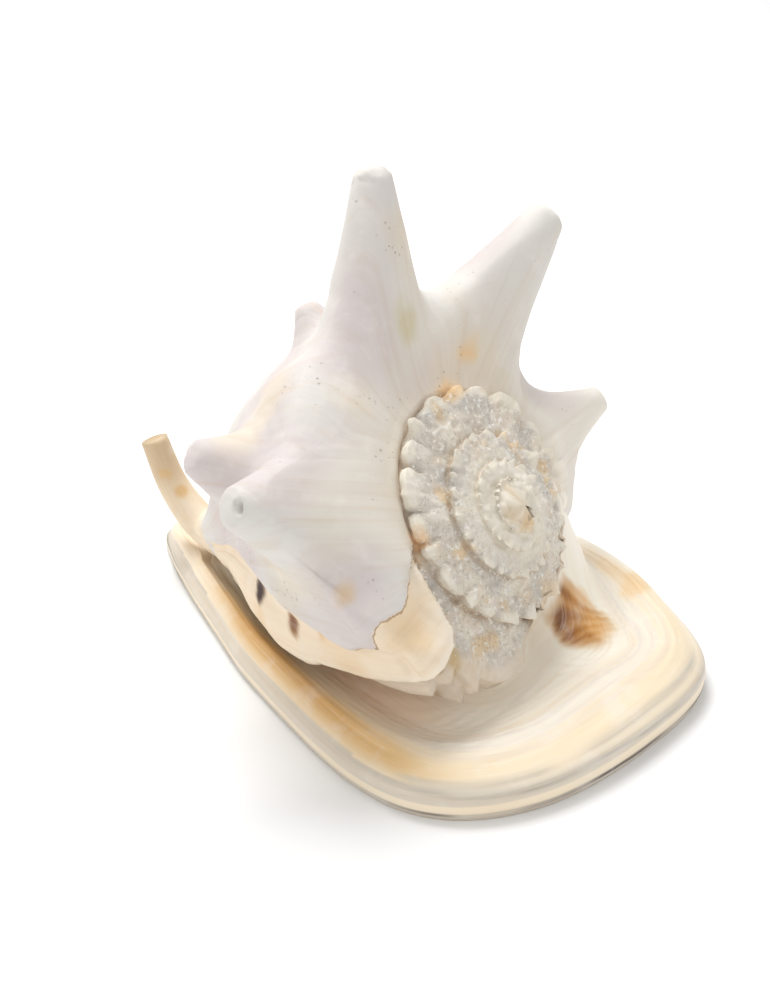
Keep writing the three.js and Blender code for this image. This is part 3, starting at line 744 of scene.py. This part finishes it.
def body_colours(points, phi, across):
    past_old, past_new = lip_distances(points, phi, across)
    radius = axis_radius(points)
    suture = suture_distance(phi, across)
    fresh = smooth(past_new, -0.3, 0.3)
    cover = Paint(points, CHALK)
    cover.add(LAVENDER, 0.75 * smooth(noise(points, 26, 42) + 0.35, 0.0, 0.8))
    cover.add(WARM, 0.7 * smooth(noise(points, 21, 43), 0.15, 0.8))
    cover.add(WARM, 0.6 * (across < 1) * bump(across, 0, 0.25))
    cover.add(IVORY, 0.5 * smooth(phi, 45, 90))
    # Old lip: cream, with a warmer outer edge.
    band = smooth(past_old, -0.6, 0.6) * (1 - fresh)
    paint = Paint(points, CREAM)
    paint.add(TAN, 0.35 * smooth(noise(points, 12, 44), 0.0, 0.8))
    paint.add(IVORY, 0.4 * bump(past_old, 2, 3))
    # Old whorls: slate ramps, cream nodules, tan stains, and painted shade at the foot of the old lip.
    old = 1 - smooth(past_old, -0.6, 0.6)
    ramp = old * (across <= 1)
    paint.add(SLATE, ramp * (0.7 + 0.3 * noise(points, 6, 45)))
    height = nodules(phi) * bump(across, 0.82, 0.24)
    paint.add(NODULE, ramp * smooth(height, 0.2, 0.55))
    paint.add(NODULE, ramp * 0.7 * smooth(noise(points, 7, 46), -0.1, 0.6))
    paint.add(NODULE, ramp * (1 - smooth(radius, 14, 26)) * 0.9)
    paint.add(APEX_TAN, ramp * (1 - smooth(radius, 3, 12)) * smooth(noise(points, 4, 50), 0, 0.6))
    paint.add(TAN, ramp * 0.45 * smooth(noise(points, 7, 47), 0.3, 0.8))
    bottom = smooth(phi, -300, -230)
    skirted = bottom * smooth(across, 0.35, 0.7)
    paint.add(SKIRT, ramp * skirted)
    paint.add(SKIRT, old * (across > 1))
    # Painted shade: the sutures are darkened brown along their clefts, on both coats below.
    cleft = (suture < 90) * smooth(radius, 10, 30) * np.exp(-((suture / 0.5) ** 2))
    # Painted shade: a patchy brown band just before the old lip's steep outer edge, where it overhangs.
    lip_foot_shade = bump(past_old, -1.0, 0.9) * smooth(noise(points, 9, 65), -0.5, 0.3)
    paint.add(LIP_FOOT_SHADE, 0.6 * lip_foot_shade * (across < 1.9))
    for coat in (paint, cover):
        coat.add(SUTURE_SHADE, cleft * (0.35 + 0.35 * noise(points, 7, 49)))
        stain(coat)
        # Canal: cream with a tan tip.
        coat.add(CREAM, smooth(across, 1.9, 2.1))
        blotches = smooth(across, 2.0, 2.2) * smooth(noise(points, 6, 48), 0.1, 0.7)
        coat.add(CANAL, 0.6 * smooth(across, 2.1, 2.5))
        coat.add(CANAL_TIP, 0.8 * smooth(across, 2.6, 2.95) + 0.3 * blotches)
        for centre, size, colour, strength in BODY_SPOTS:
            coat.spot(centre, size, colour, strength)
    return dict(
        rgb=paint.rgb,
        cover=cover.rgb,
        past=np.where(across > 1.9, 9, np.clip(past_new, -9, 9)),
        flow=np.column_stack([np.radians(phi) * 45, across * 40, np.zeros(len(phi))]),
        mottle=ramp * (1 - 0.7 * smooth(height, 0.25, 0.6)) * smooth(radius, 10, 24) * (1 - skirted),
        gloss=0.25 * band + 0.3 * smooth(across, 1.9, 2.1),
        chalk=fresh * (1 - smooth(across, 1.6, 2)) + 0.4 * old,
    )


def shield_colours(points, walk, across):
    x, y, z = points.T
    top = across > 0
    inset = np.abs(across)
    paint = Paint(points, DISH)
    front = 1 - smooth(y, -48, -8)
    left = smooth(-x, 0, 35) * smooth(y, -46, -4)
    front_left = smooth(-x, 0, 45) * bump(y, -30, 20)
    wide = noise(points, 24, 51)
    wander = inset + 1.8 * line_noise(walk, 60, 55) + 0.6 * line_noise(walk, 18, 56)
    streak = line_noise(wander, 1.6, 57) + 0.6 * line_noise(wander, 0.7, 58)
    # Painted light: the dish is lightened to ivory away from the left, lifting the shade the body casts over
    # its light cream.
    paint.add(IVORY, top * (1 - left) * smooth(inset, 22, 32) * 0.8)
    paint.add(PEACH, top * 0.75 * left * smooth(inset, 18, 26))
    paint.add(YELLOW, top * front * bump(wander, 10, 6) * 0.35)
    paint.add(TERRACE_LINE, top * front * bump(wander, 14, 1.2) * 0.5)
    paint.add(PALE, top * front * bump(wander, 21, 4.5) * (0.7 + 0.3 * streak))
    paint.add(TERRACE_GREY, top * front * bump(wander, 17, 1.6) * smooth(streak, -0.2, 0.6) * 0.7)
    paint.add(TERRACE_GREY, top * front * bump(wander, 24, 2.0) * smooth(streak, -0.2, 0.6) * 0.6)
    paint.add(ROLL_BAND, top * left * bump(wander, 9, 4.2) * (1.05 + 0.2 * wide))
    paint.add(ROLL_END, top * front_left * bump(wander, 9, 4.5) * 0.7)
    paint.add(ROLL_STREAK, top * smooth(streak, 0.1, 0.9) * bump(wander, 11, 7) * left * 0.5)
    paint.add(IVORY, top * smooth(x, 30, 60) * 0.75 * smooth(y, -80, -50))
    paint.add(REAR_BAND, top * smooth(x, 40, 60) * bump(wander, 14, 3) * bump(y, -50, 16) * 0.7)
    # The rim's side is grey, in sheets, with painted shade as dark lines in the gaps between them.
    side = top * (inset < 3.4) * (1 - smooth(z, 8.5, 13))
    sheet = line_noise(z + 0.9 * line_noise(walk, 30, 59), 1.3, 60) + 0.5 * line_noise(z, 0.5, 61)
    paint.add(RIM, side * 0.8)
    paint.add(GREY_RIM, side * smooth(sheet, -0.1, 0.5) * (0.6 - 0.35 * left))
    # Painted shade: dark lines for the gaps between the rim's sheets, paler on the left.
    gap_shade = smooth(sheet, 0.45, 0.85) * smooth(line_noise(walk, 16, 62), -0.2, 0.5)
    paint.add(RIM_GAP_SHADE, side * gap_shade * (1 - left) * 0.95)
    patches = smooth(line_noise(walk, 22, 64), -0.3, 0.4)
    paint.add(GREY_RIM, top * front * bump(inset, 4.5, 1.2) * patches * 0.8)
    paint.add(RIM_GAP_SHADE_LEFT, side * gap_shade * left * 0.5)
    # Underside: warmer towards the aperture, with ivory teeth.
    under = ~top * smooth(inset, 14, 40)
    teeth = ~top * smooth(-underside_relief(points[:, :2], inset), 0.5, 1.6)
    paint.add(THROAT, under * (0.65 + 0.35 * wide))
    paint.add(THROAT_STREAK, under * smooth(streak, 0.2, 1.0) * 0.4)
    paint.add(IVORY, teeth)
    stain(paint)
    paint.spot((50, -58, 18), (8, 5, 5), REAR_SPOT, 0.5)
    return dict(
        rgb=paint.rgb,
        flow=np.column_stack([across, walk * 0.4, np.full(len(walk), 50.0)]),
        cover=paint.rgb,
        past=np.full(len(walk), 9.0),
        mottle=np.zeros(len(walk)),
        gloss=np.full(len(walk), 0.85),
        chalk=np.zeros(len(walk)),
    )


def inner_colours(points):
    paint = Paint(points, PEACH)
    paint.add(TAN, 0.5 * smooth(noise(points, 12, 61), -0.2, 0.6))
    paint.add(IVORY, (1 - smooth(points[:, 2], 9, 16)))
    count = len(points)
    return dict(rgb=paint.rgb, cover=paint.rgb, flow=points.copy(), past=np.full(count, 9.0),
                mottle=np.zeros(count), gloss=np.full(count, 0.8), chalk=np.zeros(count))


# ---- Blender mesh ----------------------------------------------------------------------

def mesh_object(name, points, quads):
    faces = []
    for quad in quads.tolist():
        kept = [k for i, k in enumerate(quad) if k not in quad[:i]]
        if len(kept) > 2:
            faces.append(kept)
    mesh = bpy.data.meshes.new(name)
    mesh.from_pydata(((points - ROW_ORIGIN) / 1000).tolist(), [], faces)
    mesh.update()
    obj = bpy.data.objects.new(name, mesh)
    bpy.context.scene.collection.objects.link(obj)
    return obj


def combine(obj, other, operation):
    """Joins or cuts obj with other, and removes other."""
    step = obj.modifiers.new("step", "BOOLEAN")
    step.operation, step.solver, step.object = operation, "MANIFOLD", other
    graph = bpy.context.evaluated_depsgraph_get()
    made = bpy.data.meshes.new_from_object(obj.evaluated_get(graph))
    obj.modifiers.clear()
    obj.data = made
    bpy.data.objects.remove(other)


def carry_over(obj, sources):
    """Gives each point of obj the colours and values of the nearest point it was built from."""
    at = np.concatenate([points for points, _ in sources])
    tree = KDTree(len(at))
    for k, point in enumerate(((at - ROW_ORIGIN) / 1000).tolist()):
        tree.insert(point, k)
    tree.balance()
    nearest = np.array([tree.find(v.co)[1] for v in obj.data.vertices])
    values = {key: np.concatenate([v[key] for _, v in sources])[nearest] for key in sources[0][1]}
    for name, key in (("tint", "rgb"), ("cover", "cover")):
        rgb = values[key]
        rgba = np.ones((len(nearest), 4))
        rgba[:, :3] = np.where(rgb <= 0.04045, rgb / 12.92, ((rgb + 0.055) / 1.055) ** 2.4)
        put(obj, name, "FLOAT_COLOR", "color", rgba)
    put(obj, "flow", "FLOAT_VECTOR", "vector", values["flow"])
    for key in ("mottle", "gloss", "chalk", "past"):
        put(obj, key, "FLOAT", "value", values[key])


def put(obj, name, kind, field, values):
    made = obj.data.attributes.new(name, kind, "POINT")
    made.data.foreach_set(field, np.asarray(values, np.float32).ravel())


body_points, body_phi, body_across, body_quads = coiled_body()
shield_points, shield_walk, shield_across, shield_quads = shield()
slot_points, _, _, slot_quads = slot_cutter()
cavity_points, _, _, cavity_quads = cavity_cutter()

shell = mesh_object("shell_surface", body_points, body_quads)
combine(shell, mesh_object("shield", shield_points, shield_quads), "UNION")
combine(shell, mesh_object("cavity", cavity_points, cavity_quads), "DIFFERENCE")
combine(shell, mesh_object("slot", slot_points, slot_quads), "DIFFERENCE")
carry_over(shell, [
    (body_points, body_colours(body_points, body_phi, body_across)),
    (shield_points, shield_colours(shield_points, shield_walk, shield_across)),
    (slot_points, inner_colours(slot_points)),
    (cavity_points, inner_colours(cavity_points)),
])
shell.data.shade_smooth()


# ---- Material --------------------------------------------------------------------------

class Nodes:
    """Short names for making and linking shader nodes."""

    def __init__(self, material):
        material.use_nodes = True
        self.tree = material.node_tree
        self.shader = self.tree.nodes["Principled BSDF"]

    def make(self, kind, settings=None, **inputs):
        node = self.tree.nodes.new("ShaderNode" + kind)
        for key, value in (settings or {}).items():
            setattr(node, key, value)
        for key, value in inputs.items():
            self.feed(node.inputs[key.replace("_", " ")], value)
        return node

    def feed(self, socket, value):
        if isinstance(value, bpy.types.NodeSocket):
            self.tree.links.new(value, socket)
        else:
            socket.default_value = value

    def attribute(self, name, output="Fac"):
        return self.make("Attribute", {"attribute_name": name}).outputs[output]

    def noise(self, vector, scale, detail=3.0, rough=0.55):
        node = self.make("TexNoise", Vector=vector, Scale=scale, Detail=detail, Roughness=rough)
        return node.outputs["Fac"]

    def math(self, operation, a, b=0.0):
        node = self.make("Math", {"operation": operation})
        self.feed(node.inputs[0], a)
        self.feed(node.inputs[1], b)
        return node.outputs[0]

    def remap(self, value, low, high, to_low=0.0, to_high=1.0):
        node = self.make("MapRange", {"interpolation_type": "SMOOTHSTEP"}, Value=value)
        for key, number in (("From Min", low), ("From Max", high), ("To Min", to_low), ("To Max", to_high)):
            node.inputs[key].default_value = number
        return node.outputs[0]

    def blend(self, share, a, b, kind="MIX"):
        node = self.make("Mix", {"data_type": "RGBA", "blend_type": kind})
        self.feed(node.inputs[0], share)
        self.feed(node.inputs[6], a)
        self.feed(node.inputs[7], b)
        return node.outputs[2]

    def times(self, a, b):
        return self.math("MULTIPLY", a, b)

    def plus(self, a, b):
        return self.math("ADD", a, b)

    def stretch(self, vector, scale):
        node = self.make("Mapping", Vector=vector)
        node.inputs["Scale"].default_value = scale
        return node.outputs[0]


def linear(colour):
    return tuple(c / 12.92 if c <= 0.04045 else ((c + 0.055) / 1.055) ** 2.4 for c in colour) + (1,)


def shell_material():
    material = bpy.data.materials.new("shell")
    n = Nodes(material)
    place = n.make("TexCoord").outputs["Object"]
    # The newest layer lies over the old lip, with a thin brown crack along its ragged edge.
    fray = n.times(n.math("SUBTRACT", n.noise(place, 350.0, 4.0, 0.6), 0.5), 2.2)
    past = n.plus(n.attribute("past"), fray)
    tint = n.blend(n.remap(past, -0.2, 0.2), n.attribute("tint", "Color"), n.attribute("cover", "Color"))
    crack = n.times(n.remap(past, -0.9, -0.35), n.remap(past, 0.0, -0.3))
    tint = n.blend(n.times(crack, 0.75), tint, linear(CRACK))
    flow = n.attribute("flow", "Vector")
    mottle, gloss, chalk = n.attribute("mottle"), n.attribute("gloss"), n.attribute("chalk")

    # Growth lines: quick changes along growth, slow ones across it.
    lines = n.noise(n.stretch(flow, (1.1, 0.05, 1.0)), 1.0, 4.0, 0.62)
    streaks = n.noise(n.stretch(flow, (0.35, 0.03, 1.0)), 1.0, 2.0)
    cloud = n.noise(place, 90.0, 4.0)
    line_share = n.plus(0.08, n.times(gloss, 0.14))
    warm = n.blend(1.0, tint, linear(WARM_STREAK), "MULTIPLY")
    colour = n.blend(n.remap(streaks, 0.45, 0.75, 0.0, 0.22), tint, warm)
    grey = n.blend(1.0, colour, linear(GREY_LINE), "MULTIPLY")
    colour = n.blend(n.times(n.remap(lines, 0.54, 0.72), line_share), colour, grey)
    colour = n.blend(n.times(n.remap(lines, 0.46, 0.32), line_share), colour, linear(PALE_LINE))
    colour = n.blend(n.times(n.remap(cloud, 0.5, 0.75), 0.25), colour, linear(PALE_CLOUD))

    # Old ramps: dark grains and white specks.
    grains = n.noise(place, 900.0, 3.0, 0.7)
    specks = n.noise(place, 620.0, 2.0, 0.6)
    grainy = n.times(n.remap(grains, 0.52, 0.66), n.times(mottle, 0.35))
    colour = n.blend(grainy, colour, linear(GRAIN))
    speckled = n.times(n.remap(specks, 0.55, 0.66), n.times(mottle, 0.7))
    colour = n.blend(speckled, colour, linear(SPECK))

    # Chalky surface: small dark pits, in patches.
    cell = n.make("TexVoronoi", {"feature": "F1"}, Vector=place, Scale=420.0, Randomness=1.0)
    cells = cell.outputs["Distance"]
    patches = n.remap(n.noise(place, 60.0, 4.0), 0.54, 0.70)
    pits = n.times(n.remap(cells, 0.24, 0.10), n.times(patches, chalk))
    colour = n.blend(n.times(pits, 0.45), colour, linear(PIT))
    n.feed(n.shader.inputs["Base Color"], colour)

    dull = n.plus(0.62, n.times(cloud, 0.14))
    rough = n.math("SUBTRACT", dull, n.times(gloss, 0.34))
    n.feed(n.shader.inputs["Roughness"], rough)
    n.shader.inputs["Specular IOR Level"].default_value = 0.45

    # Fine grain, growth lines and pits in relief.
    grain_height = n.times(grains, n.plus(n.times(mottle, 0.8), 0.12))
    height = n.plus(grain_height, n.times(lines, 0.12))
    height = n.math("SUBTRACT", height, pits)
    relief = n.make("Bump", Height=height, Strength=0.45, Distance=0.0004)
    n.feed(n.shader.inputs["Normal"], relief.outputs["Normal"])
    return material


shell.data.materials.clear()
shell.data.materials.append(shell_material())
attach(shell, "root")
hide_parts("helmet_shell")


# ---- Floor, light and camera -------------------------------------------------------------

def plain_material(name, colour, roughness):
    material = bpy.data.materials.new(name)
    n = Nodes(material)
    n.shader.inputs["Base Color"].default_value = linear(colour)
    n.shader.inputs["Roughness"].default_value = roughness
    return material


FLOOR_HALF = 4.0
floor_mesh = bpy.data.meshes.new("floor")
floor_corners = [(x * FLOOR_HALF, y * FLOOR_HALF, 0) for x, y in ((-1, -1), (1, -1), (1, 1), (-1, 1))]
floor_mesh.from_pydata(floor_corners, [], [(0, 1, 2, 3)])
floor = bpy.data.objects.new("floor", floor_mesh)
bpy.context.scene.collection.objects.link(floor)
floor.data.materials.append(plain_material("floor", (0.97, 0.97, 0.97), 0.9))

VIEW_TURN, VIEW_RISE, VIEW_DISTANCE = math.radians(60), math.radians(32), 0.640
level = math.cos(VIEW_RISE)
back = Vector((-math.sin(VIEW_TURN) * level, -math.cos(VIEW_TURN) * level, math.sin(VIEW_RISE)))
VIEW_TARGET = np.array([13.0, 0.0, 30.0])   # in the coil frame
target = Vector((VIEW_TARGET - ROW_ORIGIN) / 1000)
camera = bpy.data.objects.new("camera", bpy.data.cameras.new("camera"))
camera.data.lens, camera.data.sensor_width = 67.5, 36
camera.data.shift_x, camera.data.shift_y = -0.0558, 0.068
camera.location = target + back * VIEW_DISTANCE
camera.rotation_euler = back.to_track_quat("Z", "Y").to_euler()
bpy.context.scene.collection.objects.link(camera)
bpy.context.scene.camera = camera


def soft_light(name, place, aim, size, power):
    data = bpy.data.lights.new(name, "AREA")
    data.size, data.energy = size, power
    light = bpy.data.objects.new(name, data)
    light.location = place
    light.rotation_euler = (Vector(place) - Vector(aim)).to_track_quat("Z", "Y").to_euler()
    bpy.context.scene.collection.objects.link(light)


soft_light("top_light", (0.30, 0.38, 0.95), (0, 0, 0.05), 0.6, 9)
soft_light("left_light", (-0.9, 0.5, 0.5), (0, 0, 0.06), 0.6, 2)
soft_light("front_light", (-0.25, -1.0, 0.45), (0, -0.05, 0.03), 0.7, 1.6)
world = bpy.data.worlds.new("studio")
world.use_nodes = True
world.node_tree.nodes["Background"].inputs["Color"].default_value = (1, 1, 1, 1)
world.node_tree.nodes["Background"].inputs["Strength"].default_value = 0.60
bpy.context.scene.world = world
bpy.context.scene.view_settings.view_transform = "Standard"
